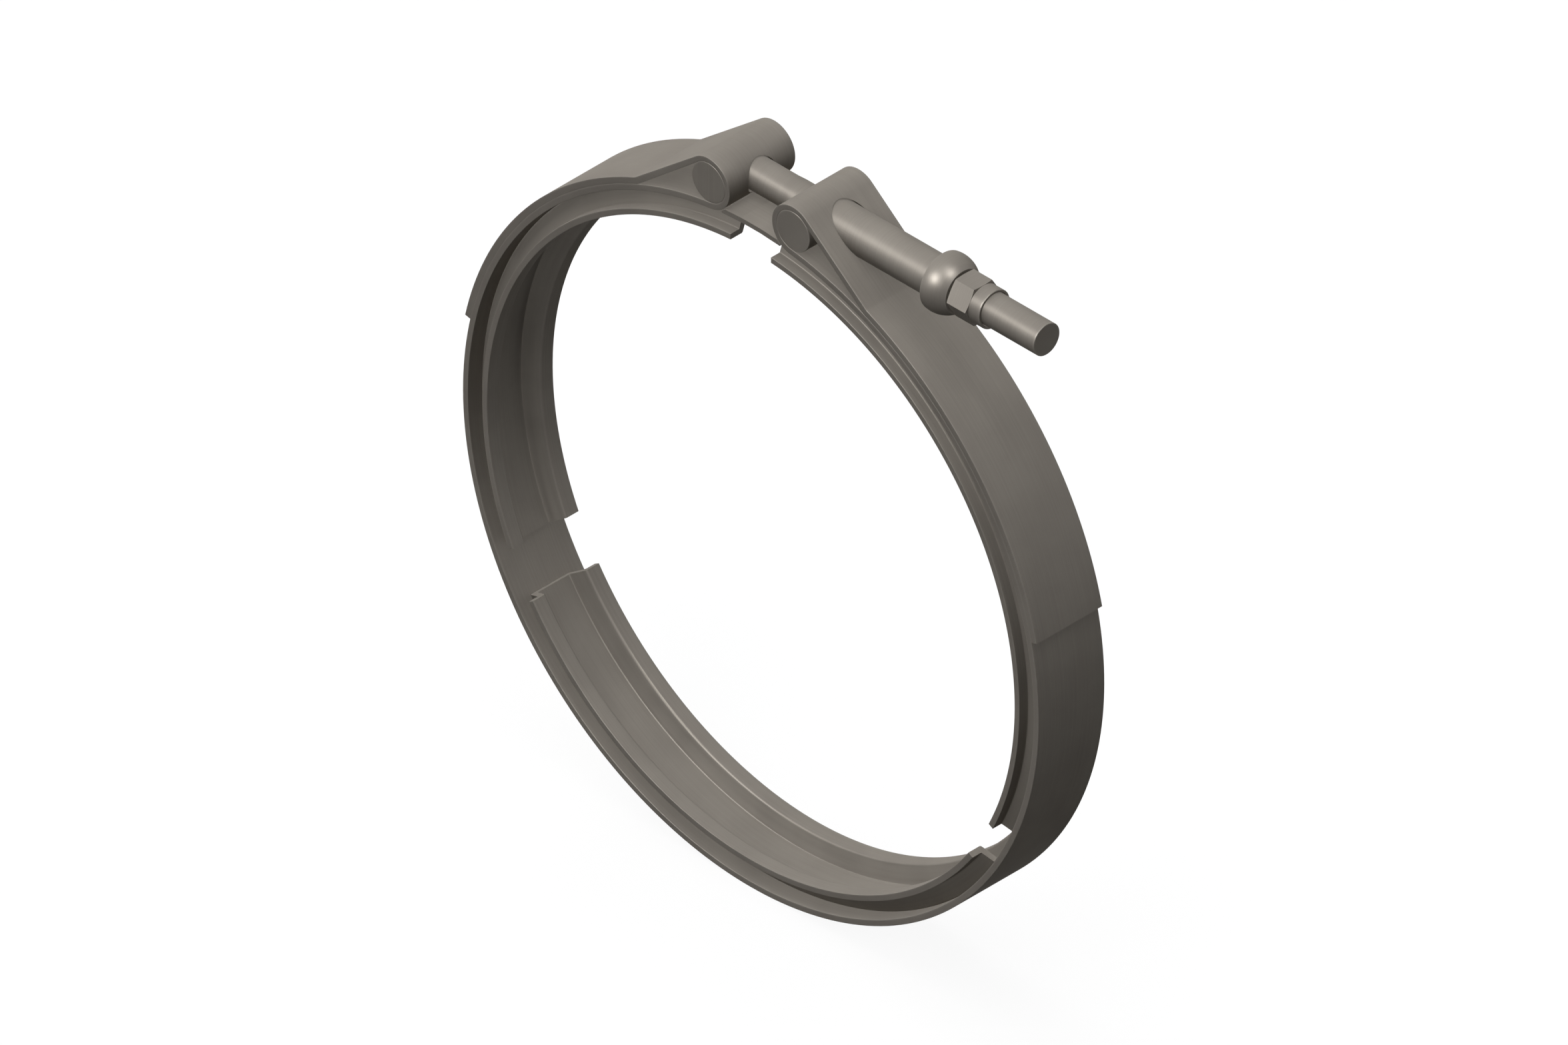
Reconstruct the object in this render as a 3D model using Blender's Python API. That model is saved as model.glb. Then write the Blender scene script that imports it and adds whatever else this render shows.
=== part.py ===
"""V-band clamp for an exhaust joint, closed as it sits on its two flanges.

A stainless strip is rolled into a ring. Each of its ends curls round a cross pin and is folded
back over the ring, where it is spot-welded. Three V-section retainers inside the ring draw the
flanges together. A T-bolt turns in the left loop, passes over a tongue that spans the gap, and
goes through the trunnion pin of the right loop, a spacer sleeve, a ball washer and a lock nut.

Frame: +X along the T-bolt towards the nut, +Y along the pipe, +Z up through the T-bolt. The
origin is the ring's centre, half way along its width. Ring angles are counted in the XZ plane,
from +X towards +Z, so that the T-bolt is at 90 degrees.
"""

import math

import bmesh
import bpy
from mathutils import Matrix, Vector

MM = 0.001

# Clearance left between two pieces that touch
SEAT = 0.3 * MM

# Strap: the rolled ring and the ends folded back over it
STRAP_INNER_RADIUS = 86.65 * MM
STRAP_THICKNESS = 1.35 * MM
STRAP_WIDTH = 20.2 * MM
LAP_HALF_ANGLE = math.radians(77.1)  # from the top of the ring down to the end of each lap
LEG_HALF_ANGLE = math.radians(23.3)  # from the top of the ring down to where each leg lands
NUGGET_RADIUS = 1.5 * MM  # spot welds between lap and ring
NUGGET_ROWS = 4
NUGGET_SPREAD = 10.0 * MM  # between the two welds of a row

# Retainers: V-section segments welded inside the strap
RETAINER_THICKNESS = 1.45 * MM
RETAINER_GAP = 12.4 * MM  # parallel-sided gap between neighbouring retainers
RETAINER_HEIGHT = 5.6 * MM  # from the back of the floor in to the inside of the lips
GROOVE_WIDTH = 9.55 * MM  # between the flanks at the floor of the groove
FLANK_ANGLE = math.radians(20.0)  # from the radial direction, for a 40 degree V
BEND_RADIUS = 0.5 * MM  # inside radius of each bend

# T-bolt and the pins in the two loops
BOLT_RADIUS = 3.97 * MM
BOLT_LIFT = 0.3 * MM  # how far the bolt clears the top of the ring
BOLT_PROJECTION = 16.0 * MM  # bolt beyond the lock nut
BOLT_CHAMFER = 0.3 * MM
THREAD_PITCH = 25.4 / 24 * MM
LOOSEN_TURNS = 12  # how far the nut is backed off while it stays on the bolt
PIN_WALL = 0.6 * MM  # metal above and below the cross hole of the trunnion pin
PIN_CHAMFER = 0.2 * MM

# Tongue: the strip that spans the gap under the bolt, flush with the outside of the strap
TONGUE_THICKNESS = 1.2 * MM
TONGUE_TIP = 0.4 * MM  # thickness left where its ends run under the loops

# Spacer sleeve, ball washer and lock nut, in their order along the bolt
SLEEVE_WALL = 0.67 * MM
SLEEVE_START = 2.0 * MM  # tips of its coped end, from the pin's axis
SLEEVE_REACH = 35.4 * MM  # its plain end, from the pin's axis
BALL_RISE = 2.26 * MM  # how far the ball stands out from the sleeve
BALL_BACK = 1.5 * MM  # from its flat back, against the sleeve, to its centre
BALL_FACE = 4.8 * MM  # from its centre to the flat face under the nut
BALL_STEPS = 10
NUT_WALL = 0.83 * MM  # from the bolt's surface to the flats
NUT_HEX_LENGTH = 6.0 * MM
NUT_COLLAR_LENGTH = 3.3 * MM
NUT_COLLAR_STEP = 0.05 * MM  # how far the round collar lies inside the flats
NUT_CHAMFER_ANGLE = math.radians(15.0)

# Facets
ARC_STEP = math.radians(4.0)
LOOP_STEP = math.radians(10.0)
BEND_STEPS = 2
ROUND_STEPS = 40
MERGE_DISTANCE = 0.0001 * MM
SMOOTH_BELOW = math.radians(30.0)

# Sizes that follow from those above
RETAINER_GAP_ANGLES = tuple(math.radians(angle) for angle in (-30.0, 90.0, 210.0))
STRAP_OUTER_RADIUS = STRAP_INNER_RADIUS + STRAP_THICKNESS
TONGUE_INNER_RADIUS = STRAP_OUTER_RADIUS - TONGUE_THICKNESS
LIP_INNER_RADIUS = STRAP_INNER_RADIUS - SEAT - RETAINER_HEIGHT
LAP_INNER_RADIUS = STRAP_OUTER_RADIUS + SEAT
LAP_OUTER_RADIUS = LAP_INNER_RADIUS + STRAP_THICKNESS
BOLT_HOLE_RADIUS = BOLT_RADIUS + SEAT
PIN_RADIUS = BOLT_HOLE_RADIUS + PIN_WALL
PIN_RING_RADIUS = STRAP_OUTER_RADIUS + SEAT + PIN_RADIUS
PIN_Z = STRAP_OUTER_RADIUS + BOLT_LIFT + BOLT_RADIUS
PIN_X = math.sqrt(PIN_RING_RADIUS**2 - PIN_Z**2)
LOOP_INNER_RADIUS = PIN_RADIUS + SEAT
LOOP_OUTER_RADIUS = LOOP_INNER_RADIUS + STRAP_THICKNESS
SLEEVE_RADIUS = BOLT_HOLE_RADIUS + SLEEVE_WALL
FLEX_RADIUS = STRAP_INNER_RADIUS + STRAP_THICKNESS / 2
FLEX_X = FLEX_RADIUS * math.cos(RETAINER_GAP_ANGLES[0])
FLEX_Z = FLEX_RADIUS * math.sin(RETAINER_GAP_ANGLES[0])
ARM_SWING = LOOSEN_TURNS * THREAD_PITCH / 2 / (PIN_Z - FLEX_Z)
SLEEVE_END_X = PIN_X + SLEEVE_REACH
WASHER_FACE_X = SLEEVE_END_X + SEAT + BALL_BACK + BALL_FACE
NUT_FACE_X = WASHER_FACE_X + SEAT
NUT_HALF_FLATS = BOLT_RADIUS + NUT_WALL
BOLT_END_X = NUT_FACE_X + NUT_HEX_LENGTH + NUT_COLLAR_LENGTH + BOLT_PROJECTION

LEFT, RIGHT = -1, 1
ALONG_X = Vector((1, 0, 0))
ALONG_Y = Vector((0, 1, 0))


def polar(radius, angle):
    """Point in the XZ plane at a radius and a ring angle."""
    return Vector((radius * math.cos(angle), radius * math.sin(angle)))


def steel(name, colour, roughness):
    """Bare metal of one colour."""
    material = bpy.data.materials.new(name)
    material.use_nodes = True
    shader = material.node_tree.nodes["Principled BSDF"]
    shader.inputs["Base Color"].default_value = (*colour, 1.0)
    shader.inputs["Roughness"].default_value = roughness
    shader.inputs["Metallic"].default_value = 1.0
    return material


def add_object(name, shape, material=None):
    """Turn a bmesh into a shaded object with its faces pointing out."""
    bmesh.ops.recalc_face_normals(shape, faces=shape.faces)
    mesh = bpy.data.meshes.new(name)
    shape.to_mesh(mesh)
    shape.free()
    mesh.shade_smooth()
    mesh.set_sharp_from_angle(angle=SMOOTH_BELOW)
    if material:
        mesh.materials.append(material)
    made = bpy.data.objects.new(name, mesh)
    bpy.context.collection.objects.link(made)
    return made


def hang(piece, carrier):
    """Parent a piece to its carrier, and leave it where it is."""
    bpy.context.view_layer.update()
    piece.parent = carrier
    piece.matrix_parent_inverse = carrier.matrix_world.inverted()


def add_pivot(name, place, *pieces):
    """Empty on a joint's axis, with the pieces that move about it."""
    pivot = bpy.data.objects.new(name, None)
    pivot.location = place
    pivot.empty_display_size = PIN_RADIUS
    bpy.context.collection.objects.link(pivot)
    for piece in pieces:
        hang(piece, pivot)
    return pivot


def combine(target, tool, operation):
    """Cut a guide out of a piece, or join it on, with an exact Boolean."""
    tool.hide_render = True
    tool.display_type = "WIRE"
    modifier = target.modifiers.new(tool.name, "BOOLEAN")
    modifier.operation = operation
    modifier.solver = "EXACT"
    modifier.object = tool
    hang(tool, target)


def sheet(name, sections, material):
    """Solid of sheet metal lofted through matched sections.

    A section is a list of point pairs, one point on each face of the sheet.
    """
    shape = bmesh.new()
    grid = [[[shape.verts.new(point) for point in pair] for pair in section] for section in sections]
    pair_count = len(grid[0])
    for here, there in zip(grid, grid[1:]):
        for i in range(pair_count - 1):
            shape.faces.new((here[i][0], here[i + 1][0], there[i + 1][0], there[i][0]))
            shape.faces.new((here[i][1], there[i][1], there[i + 1][1], here[i + 1][1]))
        for i in (0, pair_count - 1):
            shape.faces.new((here[i][0], there[i][0], there[i][1], here[i][1]))
    for section in (grid[0], grid[-1]):
        for first, second in zip(section, section[1:]):
            shape.faces.new((first[0], first[1], second[1], second[0]))
    return add_object(name, shape, material)


def turned(name, profile, place, axis, material=None, bored=False, steps=ROUND_STEPS):
    """Solid turned from a profile of (distance along the axis, radius) points.

    A plain profile starts and ends on the axis, and a bored one closes on itself.
    """
    shape = bmesh.new()
    verts = [shape.verts.new((radius, 0, along)) for along, radius in profile]
    pairs = list(zip(verts, verts[1:]))
    if bored:
        pairs.append((verts[-1], verts[0]))
    edges = [shape.edges.new(pair) for pair in pairs]
    bmesh.ops.spin(
        shape, geom=verts + edges, cent=(0, 0, 0), axis=(0, 0, 1), angle=math.tau, steps=steps, use_merge=True
    )
    bmesh.ops.remove_doubles(shape, verts=shape.verts, dist=MERGE_DISTANCE)
    made = add_object(name, shape, material)
    made.location = place
    made.rotation_mode = "QUATERNION"
    made.rotation_quaternion = axis.to_track_quat("Z", "Y")
    return made


def rod_profile(start, stop, radius, chamfer):
    """Profile of a plain rod with both ends chamfered."""
    return [
        (start, 0),
        (start, radius - chamfer),
        (start + chamfer, radius),
        (stop - chamfer, radius),
        (stop, radius - chamfer),
        (stop, 0),
    ]


def arc_pairs(centre, first_radius, second_radius, start, stop, step=ARC_STEP):
    """Matched points on two arcs about one centre."""
    count = max(1, math.ceil(abs(stop - start) / step))
    angles = [start + (stop - start) * i / count for i in range(count + 1)]
    return [(centre + polar(first_radius, a), centre + polar(second_radius, a)) for a in angles]


def strap_piece(name, pairs, material):
    """Extrude a run of strip, given as pairs in the XZ plane, across the strap's width."""
    sections = [
        [[Vector((point.x, y, point.y)) for point in pair] for pair in pairs]
        for y in (-STRAP_WIDTH / 2, STRAP_WIDTH / 2)
    ]
    return sheet(name, sections, material)


def leg_geometry():
    """Angles of the right leg: its outward normal, and where its underside meets the ring.

    The leg's outer face leaves the loop on a tangent and lands on the lap's outer face.
    """
    pin = Vector((PIN_X, PIN_Z))
    landing = polar(LAP_OUTER_RADIUS, math.pi / 2 - LEG_HALF_ANGLE)
    to_pin = pin - landing
    rise = math.atan2(to_pin.y, to_pin.x) - math.asin(LOOP_OUTER_RADIUS / to_pin.length)
    normal = rise - math.pi / 2
    underside = landing - polar(STRAP_THICKNESS, normal)
    along = underside.dot(polar(1, rise))
    beyond = underside.length_squared - LAP_INNER_RADIUS**2
    apex = underside + polar(math.sqrt(along**2 - beyond) - along, rise)
    return normal, math.atan2(apex.y, apex.x)


def arm_pairs(side):
    """Run of strip of one arm: ring, loop round the pin, leg and lap."""
    origin = Vector((0, 0))
    pin = Vector((PIN_X, PIN_Z))
    pin_angle = math.atan2(PIN_Z, PIN_X)
    leg_normal, apex_angle = leg_geometry()
    landing_angle = math.pi / 2 - LEG_HALF_ANGLE
    lap_end = math.pi / 2 - LAP_HALF_ANGLE
    flex_end = RETAINER_GAP_ANGLES[0] + SEAT / 2 / FLEX_RADIUS
    ring = arc_pairs(origin, STRAP_OUTER_RADIUS, STRAP_INNER_RADIUS, flex_end, pin_angle)
    over_pin = leg_normal - math.tau
    loop = arc_pairs(
        pin, LOOP_INNER_RADIUS, LOOP_OUTER_RADIUS, pin_angle - math.pi, over_pin, LOOP_STEP
    )
    count = math.ceil((landing_angle - lap_end) / ARC_STEP)
    lap = []
    for i in range(count + 1):
        share = i / count
        inner_angle = apex_angle + (lap_end - apex_angle) * share
        outer_angle = landing_angle + (lap_end - landing_angle) * share
        lap.append((polar(LAP_INNER_RADIUS, inner_angle), polar(LAP_OUTER_RADIUS, outer_angle)))
    pairs = ring + loop[1:] + lap
    return [[Vector((side * point.x, point.y)) for point in pair] for pair in pairs]


def bolt_way(name, side, tilt):
    """Guide for the hole that the bolt, or bolt and sleeve, need through one loop.

    It is wanted twice, level and tilted, because the arm swings about the pin while the bolt
    stays level.
    """
    reach = 2 * LOOP_OUTER_RADIUS
    if side == LEFT:
        profile = [(0, 0), (0, BOLT_HOLE_RADIUS), (reach, BOLT_HOLE_RADIUS), (reach, 0)]
    else:
        sleeve_hole = SLEEVE_RADIUS + SEAT
        step = SLEEVE_START - SEAT
        profile = [
            (-reach, 0),
            (-reach, BOLT_HOLE_RADIUS),
            (step, BOLT_HOLE_RADIUS),
            (step, sleeve_hole),
            (SLEEVE_REACH, sleeve_hole),
            (SLEEVE_REACH, 0),
        ]
    axis = Matrix.Rotation(-side * tilt, 3, "Y") @ ALONG_X
    return turned(name, profile, (side * PIN_X, 0, PIN_Z), axis)


def weld_nuggets(name, side):
    """Guide for the spot welds that tie a lap to the ring under it."""
    shape = bmesh.new()
    landing_angle = math.pi / 2 - LEG_HALF_ANGLE
    lap_end = math.pi / 2 - LAP_HALF_ANGLE
    depth = SEAT + STRAP_THICKNESS
    for row in range(NUGGET_ROWS):
        angle = landing_angle + (lap_end - landing_angle) * (row + 0.5) / NUGGET_ROWS
        middle = polar(STRAP_OUTER_RADIUS + SEAT / 2, angle)
        for y in (-NUGGET_SPREAD / 2, NUGGET_SPREAD / 2):
            outward = Vector((side * middle.x, 0, middle.y))
            place = Matrix.Translation(outward + y * ALONG_Y)
            turn = outward.to_track_quat("Z", "Y").to_matrix().to_4x4()
            bmesh.ops.create_cone(
                shape, cap_ends=True, segments=8, radius1=NUGGET_RADIUS, radius2=NUGGET_RADIUS,
                depth=depth, matrix=place @ turn,
            )
    return add_object(name, shape)


def strap_arm(name, side, material):
    """One arm of the strap, with its loop holed for the bolt and its lap welded down."""
    arm = strap_piece(name, arm_pairs(side), material)
    combine(arm, weld_nuggets(name + "_nuggets", side), "UNION")
    combine(arm, bolt_way(name + "_way_level", side, 0), "DIFFERENCE")
    combine(arm, bolt_way(name + "_way_tilted", side, ARM_SWING), "DIFFERENCE")
    return arm


def strap_bottom(material):
    """Bottom third of the ring, between the two places where the strap flexes."""
    end_gap = SEAT / 2 / FLEX_RADIUS
    start = RETAINER_GAP_ANGLES[2] + end_gap
    stop = RETAINER_GAP_ANGLES[0] + math.tau - end_gap
    pairs = arc_pairs(Vector((0, 0)), STRAP_OUTER_RADIUS, STRAP_INNER_RADIUS, start, stop)
    return strap_piece("strap_bottom", pairs, material)


def tongue_half_angle():
    """Half of the tongue's arc: where its ends thin out to their tips under the loops."""
    tip_radius = TONGUE_INNER_RADIUS + TONGUE_TIP
    hollow = LOOP_OUTER_RADIUS + SEAT
    cosine = (PIN_RING_RADIUS**2 + tip_radius**2 - hollow**2) / (2 * PIN_RING_RADIUS * tip_radius)
    return math.atan2(PIN_X, PIN_Z) - math.acos(cosine)


def strap_tongue(material):
    """Strip between the loops, hollowed at both ends to clear them."""
    half = tongue_half_angle()
    top = math.pi / 2
    pairs = arc_pairs(Vector((0, 0)), STRAP_OUTER_RADIUS, TONGUE_INNER_RADIUS, top - half, top + half)
    tongue = strap_piece("strap_tongue", pairs, material)
    hollow = LOOP_OUTER_RADIUS + SEAT
    profile = [(-STRAP_WIDTH, 0), (-STRAP_WIDTH, hollow), (STRAP_WIDTH, hollow), (STRAP_WIDTH, 0)]
    for side in (LEFT, RIGHT):
        name = "tongue_hollow_left" if side == LEFT else "tongue_hollow_right"
        combine(tongue, turned(name, profile, (side * PIN_X, 0, PIN_Z), ALONG_Y), "DIFFERENCE")
    return tongue


def tongue_root():
    """Point on the axis about which the tongue bends: the middle of its left tip."""
    place = polar(TONGUE_INNER_RADIUS + TONGUE_TIP / 2, math.pi / 2 + tongue_half_angle())
    return Vector((place.x, 0, place.y))


def retainer_section():
    """Pairs of (distance along Y, radius) points on the two faces of a retainer's section."""
    half = RETAINER_THICKNESS / 2
    floor = STRAP_INNER_RADIUS - SEAT - half
    lip = LIP_INNER_RADIUS + half
    slope = math.tan(FLANK_ANGLE)
    across_flank = half / math.cos(FLANK_ANGLE)
    floor_inner = floor - half
    corner_floor = GROOVE_WIDTH / 2 + across_flank - (floor - floor_inner) * slope
    corner_lip = corner_floor + (floor - lip) * slope
    edge = STRAP_WIDTH / 2
    corners = [
        Vector((-edge, lip)),
        Vector((-corner_lip, lip)),
        Vector((-corner_floor, floor)),
        Vector((corner_floor, floor)),
        Vector((corner_lip, lip)),
        Vector((edge, lip)),
    ]
    return path_pairs(corners, BEND_RADIUS + half, half)


def path_pairs(corners, bend_radius, half_thickness):
    """Offset a mid-line with rounded bends to both faces of its sheet."""
    def pair(point, heading):
        offset = polar(half_thickness, heading + math.pi / 2)
        return point + offset, point - offset

    headings = [math.atan2(*(b - a).yx) for a, b in zip(corners, corners[1:])]
    pairs = [pair(corners[0], headings[0])]
    for corner, heading, next_heading in zip(corners[1:], headings, headings[1:]):
        turn = math.remainder(next_heading - heading, math.tau)
        side = math.copysign(1, turn)
        setback = bend_radius * math.tan(abs(turn) / 2)
        centre = corner - polar(setback, heading) + polar(side * bend_radius, heading + math.pi / 2)
        for i in range(BEND_STEPS + 1):
            here = heading + turn * i / BEND_STEPS
            pairs.append(pair(centre - polar(side * bend_radius, here + math.pi / 2), here))
    pairs.append(pair(corners[-1], headings[-1]))
    return pairs


def retainer(name, first_gap, next_gap, material):
    """Retainer between two gaps of the ring, with its ends cut parallel to the gaps' middles."""
    section = retainer_section()
    count = math.ceil((next_gap - first_gap) / ARC_STEP)
    half_gap = RETAINER_GAP / 2
    sections = []
    for i in range(count + 1):
        swept = []
        for pair in section:
            points = []
            for along, radius in pair:
                end_angle = math.asin(half_gap / radius)
                start = first_gap + end_angle
                stop = next_gap - end_angle
                place = polar(radius, start + (stop - start) * i / count)
                points.append(Vector((place.x, along, place.y)))
            swept.append(points)
        sections.append(swept)
    return sheet(name, sections, material)


def t_bolt(material):
    """Cross-pin head in the left loop, with the threaded shank joined to it."""
    place = (-PIN_X, 0, PIN_Z)
    half = STRAP_WIDTH / 2
    head = turned("t_bolt", rod_profile(-half, half, PIN_RADIUS, PIN_CHAMFER), place, ALONG_Y, material)
    length = BOLT_END_X + PIN_X
    profile = [
        (0, 0),
        (0, BOLT_RADIUS),
        (length - BOLT_CHAMFER, BOLT_RADIUS),
        (length, BOLT_RADIUS - BOLT_CHAMFER),
        (length, 0),
    ]
    combine(head, turned("t_bolt_shank", profile, place, ALONG_X), "UNION")
    return head


def trunnion_pin(material):
    """Pin of the right loop, drilled across for the bolt."""
    place = (PIN_X, 0, PIN_Z)
    half = STRAP_WIDTH / 2
    profile = rod_profile(-half, half, PIN_RADIUS, PIN_CHAMFER)
    pin = turned("trunnion_pin", profile, place, ALONG_Y, material)
    reach = 2 * PIN_RADIUS
    drill = [(-reach, 0), (-reach, BOLT_HOLE_RADIUS), (reach, BOLT_HOLE_RADIUS), (reach, 0)]
    combine(pin, turned("trunnion_drill", drill, place, ALONG_X), "DIFFERENCE")
    return pin


def spacer_sleeve(material):
    """Tube between the trunnion pin and the ball washer, its left end coped to the pin."""
    place = (PIN_X, 0, PIN_Z)
    profile = [
        (SLEEVE_START, BOLT_HOLE_RADIUS),
        (SLEEVE_START, SLEEVE_RADIUS),
        (SLEEVE_REACH, SLEEVE_RADIUS),
        (SLEEVE_REACH, BOLT_HOLE_RADIUS),
    ]
    sleeve = turned("spacer_sleeve", profile, place, ALONG_X, material, bored=True)
    half = STRAP_WIDTH / 2
    cope = PIN_RADIUS + SEAT
    cope_profile = [(-half, 0), (-half, cope), (half, cope), (half, 0)]
    combine(sleeve, turned("sleeve_cope", cope_profile, place, ALONG_Y), "DIFFERENCE")
    return sleeve


def ball_washer(material):
    """Washer with a ball-shaped outside, flat on both of its faces."""
    radius = SLEEVE_RADIUS + BALL_RISE
    first = math.acos(-BALL_BACK / radius)
    last = math.acos(BALL_FACE / radius)
    angles = [first + (last - first) * i / BALL_STEPS for i in range(BALL_STEPS + 1)]
    outside = [(radius * math.cos(angle), radius * math.sin(angle)) for angle in angles]
    profile = [(-BALL_BACK, BOLT_HOLE_RADIUS), *outside, (BALL_FACE, BOLT_HOLE_RADIUS)]
    place = (WASHER_FACE_X - BALL_FACE, 0, PIN_Z)
    return turned("ball_washer", profile, place, ALONG_X, material, bored=True)


def lock_nut(material):
    """Hexagon nut with a round locking collar, turned first and then cut to its flats."""
    corner = NUT_HALF_FLATS / math.cos(math.pi / 6)
    blank = corner + SEAT
    slope = (blank - NUT_HALF_FLATS) * math.tan(NUT_CHAMFER_ANGLE)
    collar = NUT_HALF_FLATS - NUT_COLLAR_STEP
    end = NUT_HEX_LENGTH + NUT_COLLAR_LENGTH
    profile = [
        (0, BOLT_HOLE_RADIUS),
        (0, NUT_HALF_FLATS),
        (slope, blank),
        (NUT_HEX_LENGTH - slope, blank),
        (NUT_HEX_LENGTH, NUT_HALF_FLATS),
        (NUT_HEX_LENGTH, collar),
        (end, collar),
        (end, BOLT_HOLE_RADIUS),
    ]
    place = (NUT_FACE_X, 0, PIN_Z)
    nut = turned("lock_nut", profile, place, ALONG_X, material, bored=True)
    ring = [(-SEAT, corner), (-SEAT, 2 * corner), (NUT_HEX_LENGTH + SEAT, 2 * corner)]
    ring.append((NUT_HEX_LENGTH + SEAT, corner))
    combine(nut, turned("nut_flats", ring, place, ALONG_X, bored=True, steps=6), "DIFFERENCE")
    return nut


def clear_scene():
    """Remove every object of the open file."""
    for old in list(bpy.data.objects):
        bpy.data.objects.remove(old, do_unlink=True)


def main():
    """Build the clamp."""
    clear_scene()
    strip = steel("stainless_strip", (0.46, 0.43, 0.40), 0.38)
    plated = steel("turned_steel", (0.50, 0.47, 0.44), 0.30)
    gap_right, gap_top, gap_left = RETAINER_GAP_ANGLES

    strap_bottom(strip)
    retainer("retainer_bottom", gap_left, gap_right + math.tau, strip)
    left_arm = add_pivot(
        "left_arm",
        (-FLEX_X, 0, FLEX_Z),
        strap_arm("strap_left", LEFT, strip),
        retainer("retainer_left", gap_top, gap_left, strip),
    )
    right_arm = add_pivot(
        "right_arm",
        (FLEX_X, 0, FLEX_Z),
        strap_arm("strap_right", RIGHT, strip),
        retainer("retainer_right", gap_right, gap_top, strip),
    )
    tongue_bend = add_pivot("tongue_bend", tongue_root(), strap_tongue(strip))
    hang(tongue_bend, left_arm)

    bolt = t_bolt(plated)
    washer = ball_washer(plated)
    hang(bolt, left_arm)
    hang(washer, bolt)
    hang(lock_nut(plated), washer)
    pin = trunnion_pin(plated)
    hang(pin, right_arm)
    hang(spacer_sleeve(plated), pin)


if __name__ == "__main__":
    main()
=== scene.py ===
"""Looks of a v-band clamp with a T-bolt latch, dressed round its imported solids.

The strap is two rolled strips that run from the bottom of the ring round a loop at the top and
back down as a lap. Three V-section retainers sit inside it. A T-bolt, a trunnion pin, a spacer
sleeve, a ball washer and a lock nut draw the two loops together over a tongue.

Everything is in metres, in the frame of the solids: +X along the bolt towards the nut, +Y along
the pipe and +Z up. Ring angles are counted in the XZ plane, from +X towards +Z.
"""

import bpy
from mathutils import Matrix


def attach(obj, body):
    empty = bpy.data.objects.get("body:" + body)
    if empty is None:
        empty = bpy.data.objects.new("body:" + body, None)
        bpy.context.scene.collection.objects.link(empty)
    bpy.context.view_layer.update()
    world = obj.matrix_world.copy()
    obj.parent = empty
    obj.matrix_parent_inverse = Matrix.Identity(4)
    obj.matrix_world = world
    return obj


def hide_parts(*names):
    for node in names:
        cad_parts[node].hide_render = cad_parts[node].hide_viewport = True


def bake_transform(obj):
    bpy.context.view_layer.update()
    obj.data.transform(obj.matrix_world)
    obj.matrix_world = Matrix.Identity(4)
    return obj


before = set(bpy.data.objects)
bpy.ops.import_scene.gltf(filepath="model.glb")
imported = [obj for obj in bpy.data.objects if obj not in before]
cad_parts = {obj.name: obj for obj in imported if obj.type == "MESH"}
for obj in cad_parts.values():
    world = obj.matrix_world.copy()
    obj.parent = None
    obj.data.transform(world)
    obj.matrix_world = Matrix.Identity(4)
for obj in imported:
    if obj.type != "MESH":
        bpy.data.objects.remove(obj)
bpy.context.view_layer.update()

import logging
import math
from collections.abc import Callable
from dataclasses import dataclass, replace
from enum import Enum

import bmesh
import bpy
from mathutils import Matrix, Vector

log = logging.getLogger("clamp")

MM = 0.001
ALONG_X = Vector((1.0, 0.0, 0.0))
ALONG_Y = Vector((0.0, 1.0, 0.0))
TOP = math.pi / 2
RIGHT_GAP = math.radians(-30.0)
LEFT_GAP = math.radians(210.0)
SMOOTH_BELOW = math.radians(35)
WEAR_GAIN = 1.8
PHOTO_WIDTH = 2352
PHOTO_PIXELS_PER_MM = 6.93


class Side(Enum):
    """Which half of the clamp a piece belongs to."""

    LEFT = -1
    RIGHT = 1


class Carving(Enum):
    """What an exact Boolean does with its tools."""

    CUT = "DIFFERENCE"
    FUSE = "UNION"


@dataclass(frozen=True)
class Plan:
    """Main sizes that several pieces share, in metres and radians."""

    strap_width: float = 20.2 * MM
    ring_inner: float = 86.6 * MM
    ring_outer: float = 88.1 * MM
    lap_outer: float = 89.7 * MM
    lap_seam: float = -0.02 * MM
    lap_half_angle: float = math.radians(77.1)
    leg_half_angle: float = math.radians(23.3)
    loop_outer: float = 6.4 * MM
    pin_radius: float = 5.04 * MM
    pin_x: float = 12.9188 * MM
    pin_z: float = 92.27 * MM
    flex_half_length: float = 5.0 * MM
    bolt_radius: float = 3.97 * MM
    sleeve_radius: float = 4.94 * MM
    arm_swing: float = 0.0467

    @property
    def lap_inner(self) -> float:
        """Inside radius of a lap, pressed on the ring under it."""
        return self.ring_outer + self.lap_seam

    @property
    def pin(self) -> Vector:
        """Middle of the right loop's pin."""
        return Vector((self.pin_x, 0.0, self.pin_z))

    @property
    def pin_angle(self) -> float:
        """Ring angle of the right loop's pin."""
        return math.atan2(self.pin_z, self.pin_x)

    @property
    def pin_ring_radius(self) -> float:
        """Distance of a pin's axis from the ring's."""
        return math.hypot(self.pin_x, self.pin_z)

    @property
    def loop_inner(self) -> float:
        """Inside radius of a loop, where the ring's outside runs into it."""
        return self.pin_ring_radius - self.ring_outer


PLAN = Plan()


def polar(radius: float, angle: float) -> Vector:
    """Find a point in the XZ plane.

    Args:
        radius: Its distance from the Y axis.
        angle: Its ring angle.

    Returns:
        The point.
    """
    return Vector((radius * math.cos(angle), 0.0, radius * math.sin(angle)))


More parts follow.
